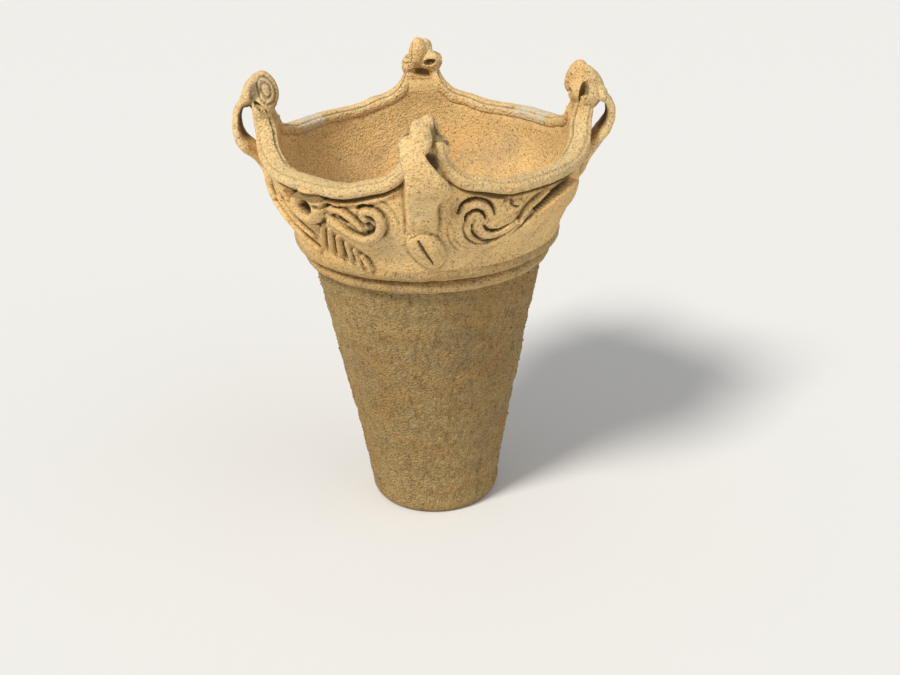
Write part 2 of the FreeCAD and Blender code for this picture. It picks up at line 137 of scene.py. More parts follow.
def make_piece(name, points, faces, node_slot, nodes):
    """Mesh object from points in millimetres, riding the pot's body."""
    mesh = bpy.data.meshes.new(name)
    mesh.from_pydata([tuple(point) for point in np.asarray(points) * MM], [], faces)
    mesh.update()
    piece = bpy.data.objects.new(name, mesh)
    bpy.context.scene.collection.objects.link(piece)
    return finish_piece(piece, node_slot, nodes)


def finish_piece(piece, node_slot, nodes):
    """Shade, paint and hang a finished piece on the frame."""
    mesh = piece.data
    mesh.polygons.foreach_set("use_smooth", [True] * len(mesh.polygons))
    mesh.materials.clear()
    mesh.materials.append(bpy.data.materials[FINISHES[node_slot]])
    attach(piece, "root")
    if nodes:
        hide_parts(*nodes)
    return piece


def grid_faces(rows, columns, close_rows=False, close_columns=False):
    """Quads of a grid of points stored row by row."""
    faces = []
    for row in range(rows if close_rows else rows - 1):
        low = row * columns
        high = (row + 1) % rows * columns
        for column in range(columns if close_columns else columns - 1):
            beside = (column + 1) % columns
            faces.append((low + column, low + beside, high + beside, high + column))
    return faces


def paint(piece, name, values):
    """Store a value for each point, for the finish to read."""
    layer = piece.data.attributes.new(name, "FLOAT", "POINT")
    layer.data.foreach_set("value", np.asarray(values, np.float32))


def paint_hollow_shade(piece, depth):
    """Store how deep each point lies, for the painted shade that darkens the hollows."""
    paint(piece, "hollow_shade", depth)


def sweep(path, across, out, half_across, half_out, sides, roundness, grooves=()):
    """Rounded bar along a path, with its own size and axes at each point, closed at its ends."""
    angles = np.linspace(0.0, 2.0 * math.pi, sides, endpoint=False)
    bend = 2.0 / roundness
    press = np.ones(sides)
    for place, half_width, depth in grooves:
        away = np.abs(wrapped(np.degrees(angles) - place))
        press -= depth * slab(away / half_width)
    wide = np.sign(np.cos(angles)) * np.abs(np.cos(angles)) ** bend * press
    deep = np.sign(np.sin(angles)) * np.abs(np.sin(angles)) ** bend * press
    points = (path[:, None, :]
              + across[:, None, :] * (half_across[:, None] * wide)[:, :, None]
              + out[:, None, :] * (half_out[:, None] * deep)[:, :, None])
    count = len(path)
    faces = grid_faces(count, sides, close_columns=True)
    faces.append(tuple(reversed(range(sides))))
    faces.append(tuple((count - 1) * sides + side for side in range(sides)))
    return points.reshape(-1, 3), faces


def outward(mesh):
    """Turn a closed mesh's faces outwards."""
    shape = bmesh.new()
    shape.from_mesh(mesh)
    bmesh.ops.recalc_face_normals(shape, faces=shape.faces)
    shape.to_mesh(mesh)
    shape.free()


# Relief of the crown


def unrolled(azimuth, height, meridian, around, up):
    """Distances in mm from a spot given in degrees from a meridian and in height."""
    return np.radians(wrapped(azimuth - meridian - around)) * RELIEF_RADIUS, height - up


def stroke(azimuth, height, meridian, path, half_widths):
    """How far each point lies from a stroke, as a share of the stroke's half width."""
    nearest = np.full(azimuth.shape, 9.0)
    for start, end, wide, narrow in zip(path, path[1:], half_widths, half_widths[1:]):
        along, up = unrolled(azimuth, height, meridian, *start)
        run = np.radians(end[0] - start[0]) * RELIEF_RADIUS
        rise = end[1] - start[1]
        share = np.clip((along * run + up * rise) / (run * run + rise * rise), 0.0, 1.0)
        away = np.hypot(along - share * run, up - share * rise)
        nearest = np.minimum(nearest, away / (wide + (narrow - wide) * share))
    return nearest


def curved(path, steps=6):
    """Smooth path through a few points."""
    points = [np.array(point, float) for point in path]
    points = [2 * points[0] - points[1]] + points + [2 * points[-1] - points[-2]]
    smooth = []
    for before, start, end, after in zip(points, points[1:], points[2:], points[3:]):
        for step in range(steps):
            t = step / steps
            smooth.append(tuple(0.5 * (2 * start + (end - before) * t
                                       + (2 * before - 5 * start + 4 * end - after) * t ** 2
                                       + (3 * start - before - 3 * end + after) * t ** 3)))
    smooth.append(tuple(points[-2]))
    return smooth


def roll(ratio):
    """Section of a rolled cord of clay, pressed on at its foot."""
    return np.sqrt(np.clip(1.0 - (ratio / 1.15) ** 2, 0.0, 1.0)) * soft_step(1.2, 0.95, ratio)


def slab(ratio):
    """Section of a flat strip with rounded shoulders."""
    return soft_step(1.18, 0.78, ratio)


HOOK_CORDS = [
    # path in degrees and millimetres, half width, depth
    ([(-36.0, 247.6), (-33.4, 243.8), (-30.0, 239.6), (-26.4, 235.6), (-22.2, 233.6),
      (-18.2, 236.2), (-15.9, 241.6), (-15.4, 248.0), (-17.0, 253.0), (-19.8, 254.2),
      (-21.4, 251.6), (-20.6, 248.6)], [3.2, 2.6, 2.6, 2.7, 2.8, 2.8, 2.7, 2.5, 2.2], 4.3),
    ([(-36.0, 249.4), (-33.0, 252.4), (-30.0, 252.2), (-27.0, 249.0), (-24.0, 244.6),
      (-22.6, 241.4)], [3.2, 2.6, 2.4, 2.2, 1.8], 3.7),
    ([(-72.0, 240.0), (-66.0, 234.2), (-60.0, 229.0), (-54.0, 222.8), (-48.0, 216.5)],
     [2.2, 2.9, 2.6, 2.0], 3.9),
    ([(-64.0, 247.0), (-58.8, 240.6), (-54.0, 234.0), (-47.0, 227.6)], [1.6, 2.3, 2.0, 1.4], 3.4),
    ([(-38.0, 257.4), (-34.0, 257.0), (-30.0, 256.6)], [3.4, 2.6, 1.6], 3.4),
    ([(-37.0, 262.0), (-43.0, 263.6), (-49.5, 261.6), (-53.4, 256.0), (-53.8, 249.0),
      (-50.4, 243.0), (-45.6, 239.6)], [1.8, 2.6, 3.0, 3.0, 2.8, 2.4, 1.6], 5.2),
    ([(-30.0, 256.4), (-22.0, 259.2), (-15.0, 262.6), (-9.0, 268.6)], [1.6, 1.5, 1.3], 1.8),
    ([(-74.0, 262.0), (-72.4, 256.0), (-73.4, 249.0), (-71.0, 243.0)], [3.6, 2.6, 3.4, 2.2], 3.9),
    ([(-53.0, 258.6), (-57.0, 264.0), (-63.0, 268.0)], [3.4, 3.0, 2.0], 3.6),
]
HOOK_CUTS = [
    ([(-15.0, 262.0), (-11.6, 256.0), (-9.2, 246.0)], 0.7, 0.7),
    ([(-37.6, 254.0), (-35.8, 253.6), (-33.8, 255.4), (-30.6, 255.0), (-29.4, 254.4)],
     [1.5, 1.0, 0.9, 0.6], 2.4),
    ([(-30.6, 247.4), (-28.2, 244.6)], [1.4, 1.9, 1.2], 2.6),
    ([(-23.4, 255.6), (-21.0, 257.6), (-18.0, 257.2)], [1.0, 1.4, 0.9], 2.4),
    ([(-20.0, 244.8), (-18.9, 241.0), (-20.6, 238.6)], [1.6, 2.4, 1.6], 1.8),
    ([(-14.0, 264.6), (-8.4, 270.6)], 0.8, 1.6),
]
SPIRAL_CORDS = [
    ([(21.2, 250.6), (20.0, 254.6), (16.9, 256.8), (13.6, 255.2), (11.3, 250.4), (10.8, 243.0),
      (12.4, 236.0), (15.6, 230.4), (19.8, 227.8), (24.2, 228.2), (29.2, 231.6), (34.5, 237.6),
      (38.6, 243.4)], [3.3, 3.2, 3.2, 3.0, 2.8, 2.8, 2.6, 2.2], 2.6),
    ([(17.6, 246.4), (17.2, 249.6), (15.6, 250.6), (14.0, 248.0), (13.6, 243.6), (15.0, 238.6),
      (17.6, 234.8), (20.8, 233.0), (24.6, 234.0), (28.4, 236.4), (32.4, 240.0)],
     [2.6, 2.6, 2.2, 2.4, 2.4, 2.2, 1.6], 2.9),
    ([(17.2, 247.0), (17.0, 242.4), (18.6, 238.6), (21.6, 235.8)], [2.4, 2.2, 1.8], 2.7),
    ([(30.0, 251.6), (31.8, 253.4), (33.2, 251.6), (32.0, 249.2), (29.8, 249.0)], 1.8, 2.0),
    ([(33.4, 238.4), (36.7, 246.9), (40.8, 251.7), (45.0, 255.6)], [1.2, 1.8, 1.8, 1.2], 3.0),
]
SPIRAL_CUTS = [
    ([(10.2, 252.6), (11.8, 257.6), (14.2, 259.9), (17.0, 260.0), (20.3, 257.8), (22.1, 253.8),
      (22.6, 249.4)], [0.5, 1.1, 1.6, 1.6, 1.4, 1.2, 0.6], 3.4),
    ([(12.5, 247.0), (13.2, 251.4), (15.5, 253.6), (18.2, 252.0), (19.5, 247.6)],
     [0.6, 1.2, 1.3, 1.1, 0.7], 3.0),
    ([(12.5, 247.0), (12.0, 241.0), (13.8, 234.0), (17.4, 229.6), (22.0, 228.8)],
     [0.7, 0.7, 0.8, 0.7, 0.4], 1.5),
    ([(19.4, 242.0), (20.6, 239.0), (22.8, 237.6), (25.4, 237.6), (28.6, 239.8)],
     [0.8, 1.1, 1.1, 0.9, 0.5], 2.6),
    ([(14.9, 244.4), (15.2, 239.4), (16.8, 235.0), (19.8, 231.6), (23.4, 231.0), (27.6, 233.4)],
     [0.5, 1.0, 1.1, 1.2, 1.0, 0.5], 2.4),
    ([(7.6, 248.0), (7.0, 239.0), (8.4, 231.0), (11.0, 225.0)], [0.5, 0.9, 0.5], 0.8),
    ([(9.4, 246.0), (9.0, 238.0), (10.8, 230.6), (14.6, 225.8)], [0.4, 0.8, 0.5], 0.7),
    ([(26.0, 256.4), (28.4, 257.4), (29.4, 256.4), (29.6, 252.6), (31.8, 250.6)],
     [0.5, 1.2, 1.1, 0.9, 0.5], 1.8),
]
PEAK_CUTS = [
    ([(-3.0, 234.6), (-1.0, 226.4), (1.7, 216.6)], [0.6, 1.1, 0.8, 0.5], 2.0),
    ([(3.6, 228.0), (5.6, 219.5)], 0.6, 0.7),
    ([(-6.8, 256.0), (-7.0, 248.0), (-7.6, 238.0)], [0.5, 0.6, 0.4], 0.5),
    ([(3.9, 256.0), (4.0, 248.0), (3.6, 237.0)], [0.5, 0.7, 0.4], 0.6),
    ([(-3.0, 262.0), (-3.6, 248.0)], 1.2, 0.6),
    ([(-5.4, 236.6), (-2.6, 239.6), (1.4, 238.8)], 0.7, 0.8),
]
RIBS = 6
EYELET_LEAN = 0.5
BOSS_LEAN = math.radians(31.0)


def even_widths(path, widths):
    """Half width at every point of a path, from one or a few spread along it."""
    widths = np.atleast_1d(widths)
    places = np.linspace(0.0, 1.0, len(widths))
    return np.interp(np.linspace(0.0, 1.0, len(path)), places, widths)


def lay(height_field, azimuth, height, meridian, strokes, section, sign=1.0):
    """Add cords to a height field, or cut grooves into it."""
    for path, half_width, depth in strokes:
        smooth = curved(path)
        ratio = stroke(azimuth, height, meridian, smooth, even_widths(smooth, half_width))
        shape = section(ratio) * depth
        if sign > 0:
            height_field = np.maximum(height_field, shape) + 0.25 * np.minimum(height_field, shape)
        else:
            height_field = height_field - shape
    return height_field


def rib_strokes():
    """Short ribs that fan out below the hook, in the form that cords are listed in."""
    ribs = []
    for rib in range(RIBS):
        top = (-38.0 + 2.5 * rib, 242.0 - 4.6 * rib)
        foot = (-44.0 + 4.2 * rib, 220.0 - 2.0 * rib)
        ribs.append(([top, foot], [1.3 + 0.25 * (rib % 2), 2.1, 1.2], 3.1 + 0.5 * (rib % 3)))
    return ribs


def eyelet_relief(azimuth, height, meridian):
    """Thick ring with a pit in it, and how deep the pit goes."""
    along, up = unrolled(azimuth, height, meridian, -42.6, 251.6)
    across = along * math.cos(EYELET_LEAN) + up * math.sin(EYELET_LEAN)
    down = up * math.cos(EYELET_LEAN) - along * math.sin(EYELET_LEAN)
    away = np.hypot(across * 0.86, down)
    ring = roll(np.abs(away - 8.0) / 4.0) * 8.2
    pit = soft_step(5.2, 4.2, away) * 8.0 + slab(np.abs(away - 13.4) / 1.3) * 1.2
    return ring, pit


def blade_relief(azimuth, height, meridian):
    """Crescent flange: a sharp upper edge that slopes back to the wall below it."""
    turn = wrapped(azimuth - meridian)
    places = [20.0, 31.0, 39.5, 46.0, 53.0, 61.0]
    upper = np.interp(turn, places, [222.0, 231.5, 243.0, 249.6, 253.4, 255.4])
    lower = np.interp(turn, places, [212.0, 213.0, 219.5, 226.5, 233.0, 240.0])
    depth = np.interp(turn, places, [0.0, 3.4, 7.0, 8.6, 8.8, 7.6])
    inside = soft_step(16.0, 24.0, turn) * soft_step(60.6, 58.8, turn)
    climb = np.clip((height - lower) / np.maximum(upper - lower, 1.0), 0.0, 1.0)
    return depth * climb ** 1.1 * soft_step(upper + 1.7, upper + 0.3, height) * inside


def hook_skirt(azimuth, height, meridian):
    """Smooth slope from the hook's lower strand down to the ribs."""
    turn = wrapped(azimuth - meridian)
    upper = np.interp(turn, [-38.0, -30.0, -22.0, -16.0], [246.0, 238.6, 232.0, 236.0])
    inside = soft_step(-42.0, -36.0, turn) * soft_step(-12.0, -18.0, turn)
    return 3.0 * soft_step(upper - 17.0, upper - 1.0, height) * inside * soft_step(
        upper + 3.0, upper, height)


def spiral_dome(azimuth, height, meridian):
    """Gentle swelling that the spiral is drawn on."""
    along, up = unrolled(azimuth, height, meridian, 19.5, 242.0)
    return 2.4 * soft_step(1.25, 0.75, np.hypot(along / 21.0, up / 18.5))


def peak_relief(azimuth, height, meridian):
    """Column under a peak, and the leaning boss at its foot."""
    along, up = unrolled(azimuth, height, meridian, -1.6, 0.0)
    column = slab(np.abs(along) / 9.0) * 4.6 * soft_step(236.0, 250.0, height)
    along, up = unrolled(azimuth, height, meridian, -0.4, 227.0)
    long_way = up * math.cos(BOSS_LEAN) - along * math.sin(BOSS_LEAN)
    short_way = along * math.cos(BOSS_LEAN) + up * math.sin(BOSS_LEAN)
    boss = np.clip(1.0 - np.hypot(long_way / 16.5, short_way / 11.0) ** 2, 0.0, 1.0) ** 0.6 * 4.2
    return np.maximum(column, boss) + 0.3 * np.minimum(column, boss)


def crown_relief(azimuth, height, below_lip):
    """Height of the ornament over the crown's skin, in mm, outwards positive."""
    field = np.zeros(azimuth.shape)
    for meridian in PEAKS.values():
        field = np.maximum(field, peak_relief(azimuth, height, meridian))
    for meridian in HOOK_MERIDIANS.values():
        ring, pit = eyelet_relief(azimuth, height, meridian)
        field = np.maximum(field, hook_skirt(azimuth, height, meridian))
        field = lay(field, azimuth, height, meridian, HOOK_CORDS + rib_strokes(), roll)
        field = np.maximum(field, ring) - pit
    for meridian in SPIRAL_MERIDIANS.values():
        field = np.maximum(field, spiral_dome(azimuth, height, meridian))
        field = lay(field, azimuth, height, meridian, SPIRAL_CORDS, slab)
        field = np.maximum(field, blade_relief(azimuth, height, meridian))
    for meridian in PEAKS.values():
        field = lay(field, azimuth, height, meridian, PEAK_CUTS, slab, -1.0)
    for meridian in HOOK_MERIDIANS.values():
        field = lay(field, azimuth, height, meridian, HOOK_CUTS, slab, -1.0)
    for meridian in SPIRAL_MERIDIANS.values():
        field = lay(field, azimuth, height, meridian, SPIRAL_CUTS, slab, -1.0)
    return field - slab(np.abs(below_lip - 0.8) / 1.8) * 3.4


def crown_nodes():
    """Nodes of the frame that the crown's one skin stands for."""
    nodes = ["crown_wall"] + ["column_" + peak for peak in PEAKS] + ["boss_" + peak for peak in PEAKS]
    for kind in ("eyelet_ring_", "hook_scroll_", "rib_fan_", "slanting_band_"):
        nodes += [kind + place for place in HOOK_MERIDIANS]
    for kind in ("spiral_", "blade_flange_"):
        nodes += [kind + place for place in SPIRAL_MERIDIANS]
    return nodes


def crown_hollow_shade(relief, azimuth, height, below_lip):
    """Painted shade for each point of the ornament: from how deep it lies below what is round it, in
    the band under the lip and in the eyelets' pits.
    """
    near = sum(np.roll(relief, step, axis) for axis in (1, 0) for step in (4, -4))
    raised = relief - 0.25 * near
    raised[:5] = 0.0
    hollow_shade = np.clip(-raised * 0.6, 0.0, 1.0)
    hollow_shade = np.maximum(hollow_shade, slab(np.abs(below_lip - 1.0) / 2.6) * 0.7)
    for meridian in HOOK_MERIDIANS.values():
        hollow_shade = np.maximum(hollow_shade, eyelet_relief(azimuth, height, meridian)[1] / 7.0)
    return hollow_shade


CROWN_ROWS = 100
CROWN_ROWS_INSIDE = 9


def make_crown(settings):
    """Crown wall with its ornament, the inner skin included, as one closed ring."""
    columns = settings.crown_columns
    azimuth = np.arange(columns) * 360.0 / columns
    off_valley = from_valley(azimuth)
    across = LIP_RADIUS * np.sin(np.radians(off_valley))
    lip_under = rim_height(across, settings.rim_low - settings.lip_height * 0.86)
    top = np.minimum(rim_height(across, settings.rim_low - settings.lip_height * 0.45), CROWN_TOP)
    share = np.linspace(0.0, 1.0, CROWN_ROWS)[:, None]
    low = JOINT_HEIGHT + 1.0
    height = low + (top[None, :] - low) * share
    turn = np.broadcast_to(azimuth[None, :], height.shape)
    slope = np.abs(np.gradient(lip_under, np.radians(azimuth) * LIP_RADIUS, edge_order=1))
    below_lip = (lip_under[None, :] - height) / np.sqrt(1.0 + slope[None, :] ** 2)
    relief = crown_relief(turn, height, below_lip)
    fade = soft_step(low, low + 8.0, height)
    radius = crown_skin(height)
    spot = np.stack([radius * np.cos(np.radians(turn)), radius * np.sin(np.radians(turn)), height],
                    axis=-1).reshape(-1, 3)
    swell = (lumps(spot, 26.0, 2) * 0.55 + lumps(spot, 5.0, 3, 4.0) * 0.22).reshape(height.shape)
    foot = 3.0 * soft_step(219.0, 208.0, height + swell * 3.0)
    skin = radius + relief * fade + swell + foot
    share_in = np.linspace(1.0, 0.0, CROWN_ROWS_INSIDE)[:, None]
    height_in = low + (top[None, :] - low) * share_in
    turn_in = np.broadcast_to(azimuth[None, :], height_in.shape)
    skin_in = crown_skin(height_in) - WALL
    heights = np.concatenate([height, height_in])
    radii = np.concatenate([skin, skin_in])
    turns = np.radians(np.concatenate([turn, turn_in]))
    points = np.stack([radii * np.cos(turns), radii * np.sin(turns), heights], axis=-1)
    faces = grid_faces(CROWN_ROWS + CROWN_ROWS_INSIDE, columns, close_rows=True,
                       close_columns=True)
    piece = make_piece("crown_wall_skin", points.reshape(-1, 3), faces, "crown_clay",
                       crown_nodes())
    # Painted shade: the ornament's hollows, the band under the lip and the eyelet pits are darkened
    # in the finish.
    hollow_shade = crown_hollow_shade(relief, turn, height, below_lip)
    paint_hollow_shade(piece, np.concatenate([hollow_shade, np.zeros(height_in.shape)]).reshape(-1))
    return piece


# The other pieces


BODY_COLUMNS = 600
COIL_HEIGHT = 19.0
CORD_SPACING = 5.2
CORD_SLANT = math.radians(28.0)


def body_texture(skin):
    """Skin pushed in and out by the coils, the slanting cord marks and the lumps of the clay."""
    coils = np.sin(skin[:, 2] / COIL_HEIGHT * 2.0 * math.pi
                   + lumps(skin, 60.0, 2, 2.0) * 2.0) * 0.28
    around = np.unwrap(np.arctan2(skin[:, 1], skin[:, 0])) * 60.0
    row = skin[:, 2] * math.cos(CORD_SLANT) + around * math.sin(CORD_SLANT)
    cords = np.maximum(np.sin(row * 2.0 * math.pi / CORD_SPACING), -0.2) * soft_step(
        -0.3, 0.5, lumps(skin, 16.0, 2, 6.0))
    push = (lumps(skin, 34.0, 2, 1.0) * 0.7 + lumps(skin, 3.6, 3, 3.0) * 0.55 + coils
            + cords * 0.3)
    push *= soft_step(2.0, 12.0, skin[:, 2])
    unit = skin[:, :2] / np.linalg.norm(skin[:, :2], axis=1, keepdims=True)
    skin = skin.copy()
    skin[:, :2] += unit * push[:, None]
    return skin


def make_lower_body():
    """Tall tapered wall with its floor, closed all over."""
    columns = BODY_COLUMNS
    profile_out = [(0.0, 0.0), (20.0, 0.0), (38.0, 0.0), (42.6, 0.15), (44.2, 1.0), (45.4, 2.6),
                   (46.3, 4.6)]
    heights = np.linspace(6.0, JOINT_HEIGHT, 150)
    radii = np.interp(heights, [3, 18, 53, 84, 107, 139, 164, 178, 200],
                      [46.2, 47.9, 53.2, 59.0, 64.0, 69.6, 74.4, 77.0, 80.6])
    profile_out += list(zip(radii, heights))
    profile_in = [(radius - WALL, height) for radius, height in profile_out[:6:-9]
                  if height > FLOOR + 2.0] + [(38.0, FLOOR + 0.6), (30.0, FLOOR), (0.0, FLOOR)]
    profile = np.array(profile_out + profile_in)
    azimuth = np.radians(np.arange(columns) * 360.0 / columns)
    rings = profile[1:-1]
    count_out = len(profile_out) - 1
    points = np.stack([rings[:, 0:1] * np.cos(azimuth), rings[:, 0:1] * np.sin(azimuth),
                       np.repeat(rings[:, 1:2], columns, 1)], axis=-1)
    skin = body_texture(points[:count_out].reshape(-1, 3))
    points = np.concatenate([skin, points[count_out:].reshape(-1, 3)])
    faces = grid_faces(len(rings), columns, close_columns=True)
    bottom, top = len(points), len(points) + 1
    points = np.concatenate([points, [(0.0, 0.0, 0.0), (0.0, 0.0, FLOOR)]])
    last = (len(rings) - 1) * columns
    for column in range(columns):
        beside = (column + 1) % columns
        faces.append((bottom, beside, column))
        faces.append((top, last + column, last + beside))
    piece = make_piece("lower_body_skin", points, faces, "body_clay", ["lower_body", "base_disc"])
    patchy = soft_step(-0.5, 0.5, lumps(skin, 22.0, 2, 8.0))
    gritty = np.zeros(len(points))
    gritty[:len(skin)] = (soft_step(4.0, 8.0, skin[:, 2]) * soft_step(190.0, 184.0, skin[:, 2])
                          * (0.35 + 0.65 * patchy))
    paint(piece, "gritty", gritty)
    return piece


LIP_SIDES = 40
LIP_GROOVES = [
    # place round the section in degrees from its top, half width, depth as a share
    (-40.0, 12.0, 0.2),
    (44.0, 10.0, 0.1),
]
# Pale filled patches on the back lips: degrees off the valley's middle, half width.
REPAIRS = {"back_left": (9.0, 6.0), "back_right": (-6.0, 8.0)}
FILLING_COLOUR = (0.72, 0.66, 0.55, 1.0)
# Unevenness that pressing fingers leave: share of the coil's thickness, and size in mm.
FINGER_PRESS = 0.08
FINGER_GRAIN = 11.0


def lip_path(valley, settings, top_height):
    """Middle line of one rim lip, with the axes of its section."""
    flat = VALLEY_HALF_WIDTH - VALLEY_CORNER
    bend_radius = VALLEY_CORNER + settings.lip_height * 0.5
    straight = np.linspace(0.0, flat, 60)
    bend = np.linspace(0.0, math.pi / 2, 46)[1:]
    rise = np.arange(0.8, top_height, 0.8)
    half = [(u, 0.0) for u in straight]
    half += [(flat + bend_radius * math.sin(a), bend_radius - bend_radius * math.cos(a))
             for a in bend]
    half += [(flat + bend_radius, bend_radius + r) for r in rise]
    half = [(u, z + eased(u)) for u, z in half]
    line = [(-u, z) for u, z in half[:0:-1]] + half
    across, up = np.array(line).T
    middle = settings.rim_low - settings.lip_height * 0.5 + 1.0
    height = middle + up
    radius = crown_skin(height) - 2.2 + 5.6 * soft_step(12.0, 34.0, up)
    azimuth = np.radians(valley) + np.arcsin(across / LIP_RADIUS)
    out = np.stack([np.cos(azimuth), np.sin(azimuth), np.zeros(len(azimuth))], axis=-1)
    path = out * radius[:, None]
    path[:, 2] = height
    tangent = np.gradient(path, axis=0)
    tangent /= np.linalg.norm(tangent, axis=1, keepdims=True)
    side = np.cross(out, tangent)
    side /= np.linalg.norm(side, axis=1, keepdims=True)
    return path, side, np.cross(tangent, side), up


def make_rim_lip(place, valley, settings):
    """Thick lip of one valley, which runs up to a peak at each end."""
    path, side, out, up = lip_path(valley, settings, 3.0)
    ends = soft_step(10.0, 34.0, up)
    half_side = (settings.lip_height * 0.5 + 0.4) * (1.0 - 0.12 * ends)
    half_out = 7.4 - 1.6 * ends
    points, faces = sweep(path, side, out, half_side, half_out, LIP_SIDES, 2.7, LIP_GROOVES)
    points = roughened(points, path, valley)
    piece = make_piece("rim_lip_%s_coil" % place, points, faces, "relief_clay",
                       ["rim_lip_" + place])
    # Painted shade in the lip's grooves.
    angles = np.degrees(np.linspace(0.0, 2.0 * math.pi, LIP_SIDES, endpoint=False))
    groove = sum(slab(np.abs(wrapped(angles - turn)) / width) * depth * 3.0
                 for turn, width, depth in LIP_GROOVES)
    paint_hollow_shade(piece, np.tile(np.clip(groove, 0.0, 0.6), len(path)))
    if place in REPAIRS:
        spot, reach = REPAIRS[place]
        off = np.degrees(np.arctan2(path[:, 1], path[:, 0])) - valley
        patch = soft_step(reach + 4.0, reach, np.abs(wrapped(off) - spot))
        paint(piece, "worn", np.repeat(patch, LIP_SIDES))
    return piece


def roughened(points, path, seed):
    """Push a lip's points to and from its path, as pressing fingers do."""
    middle = np.repeat(path, LIP_SIDES, axis=0)
    push = 1.0 + lumps(points, FINGER_GRAIN, 3, seed / 90.0)[:, None] * FINGER_PRESS
    return middle + (points - middle) * push


def lean(tilt, pitch):
    """Turn of a lump in the plane of the wall, then towards or away from the pot's axis."""
    return (Matrix.Rotation(math.radians(pitch), 3, "Y")
            @ Matrix.Rotation(math.radians(tilt), 3, "X"))


def ball(shape, centre, size, tilt, pitch):
    """Add a stretched and tilted ball to a mesh."""
    place = (Matrix.Translation(Vector(centre) * MM) @ lean(tilt, pitch).to_4x4()
             @ Matrix.Diagonal((*(Vector(size) * MM), 1.0)))
    bmesh.ops.create_icosphere(shape, subdivisions=4, radius=1.0, matrix=place)


HEAD_LOBES = [
    # centre (out, along, up), half sizes, tilt across the wall, pitch off upright
    ((105.8, 0.0, 284.0), (6.6, 13.2, 10.0), 0.0, 6.0),
    ((105.4, 0.6, 292.0), (7.8, 13.0, 10.5), 0.0, 10.0),
    ((103.6, -3.6, 299.0), (7.4, 11.0, 8.4), 0.0, 0.0),
    ((105.0, 8.4, 296.0), (7.4, 6.9, 9.4), 8.0, 0.0),
    ((102.2, 3.0, 307.4), (7.2, 6.2, 12.0), 6.0, 20.0),
    ((107.4, -1.0, 305.0), (6.4, 7.8, 8.6), 0.0, 0.0),
    ((112.6, -1.8, 306.4), (5.2, 6.4, 12.2), 8.0, -32.0),
    ((117.4, -5.4, 298.0), (4.6, 8.6, 4.8), 0.0, 0.0),
    ((108.4, -9.6, 296.6), (8.6, 5.6, 8.6), 14.0, 0.0),
]
HEAD_PITS = [
    ((91.5, -6.0, 299.4), (12.5, 5.0, 3.2), -6.0, 0.0),
    ((93.0, -0.6, 290.6), (12.0, 10.4, 4.2), 14.0, 0.0),
    ((105.4, -19.4, 301.0), (3.6, 13.4, 10.4), 0.0, 12.0),
    ((106.2, 17.6, 297.0), (9.6, 8.0, 2.3), 0.0, -46.0),
]
INNER_LOBE = HEAD_LOBES[4]
HEAD_MIDDLE = (108.0, 0.0, 296.0)
HEAD_SHADES = [
    # centre and half sizes of places darkened with painted shade, and how dark
    ((109.6, 6.0, 303.5), (5.0, 7.0, 10.0), 0.7),
    ((116.4, 0.0, 285.0), (7.2, 20.0, 13.0), 0.95),
]


def pressed(points, pits):
    """Press ball-shaped hollows into points, and tell how deep each point was pressed."""
    points = points.copy()
    depth = np.zeros(len(points))
    for centre, size, tilt, pitch in pits:
        turn = np.array(lean(tilt, pitch))
        local = (points - centre) @ turn / size
        reach = np.linalg.norm(local, axis=1)
        inside = (reach < 1.0) & (reach > 1e-6)
        local[inside] /= reach[inside, None]
        depth[inside] = np.maximum(depth[inside], 1.0 - reach[inside])
        points[inside] = (local[inside] * size) @ turn.T + centre
    return points, depth


def ring_lines(points):
    """Incise nested ovals into the side of the inner lobe, and tell where they run, for the painted
    shade in them.
    """
    centre, size, _, degrees = INNER_LOBE
    points = points.copy()
    out, up = points[:, 0] - centre[0], points[:, 2] - centre[2]
    pitch = math.radians(degrees)
    ratio = np.hypot((out * math.cos(pitch) - up * math.sin(pitch)) / size[0],
                     (up * math.cos(pitch) + out * math.sin(pitch)) / size[2])
    line = slab(np.abs(ratio - 0.74) / 0.07) + slab(np.abs(ratio - 0.4) / 0.08)
    face = soft_step(5.0, 7.0, points[:, 1])
    points[:, 1] -= 0.7 * line * face
    return points, line * face


def turned(points, degrees):
    """Points turned anticlockwise about the pot's axis."""
    angle = math.radians(degrees)
    spin = np.array([[math.cos(angle), math.sin(angle), 0.0],
                     [-math.sin(angle), math.cos(angle), 0.0],
                     [0.0, 0.0, 1.0]])
    return points @ spin


STRAP_ROUTE = [
    # out and up, left and right edge along the wall, half thickness
    (110.0, 297.0, -13.0, 0.6, 3.4),
    (116.0, 297.2, -14.4, -0.2, 2.9),
    (121.0, 294.8, -14.6, 0.4, 2.7),
    (124.0, 289.6, -13.8, 3.6, 2.8),
    (124.5, 282.4, -12.4, 9.2, 2.7),
    (122.6, 275.2, -11.8, 14.4, 3.1),
    (118.2, 269.2, -11.8, 14.2, 3.5),
    (113.0, 263.0, -11.8, 7.6, 3.9),
    (108.6, 257.0, -11.8, 6.0, 4.0),
    (105.0, 249.5, -11.6, 5.8, 4.0),
]


def strap_sweep():
    """Ribbon that springs over from the head, bows out and flares towards one lip."""
    route = np.array(curved(STRAP_ROUTE, 8))
    left, right = route[:, 2], route[:, 3]
    path = np.stack([route[:, 0], (left + right) * 0.5, route[:, 1]], axis=-1)
    tangent = np.gradient(path * [1.0, 0.0, 1.0], axis=0)
    tangent /= np.linalg.norm(tangent, axis=1, keepdims=True)
    across = np.tile([0.0, 1.0, 0.0], (len(path), 1))
    out = np.cross(across, tangent)
    return sweep(path, across, -out, (right - left) * 0.5, route[:, 4], 34, 3.4)


# The front and back peaks stand lower than the others, in mm.
WORN_TOPS = {"front": 5.0, "back": 3.4}
WORN_FROM = 288.0


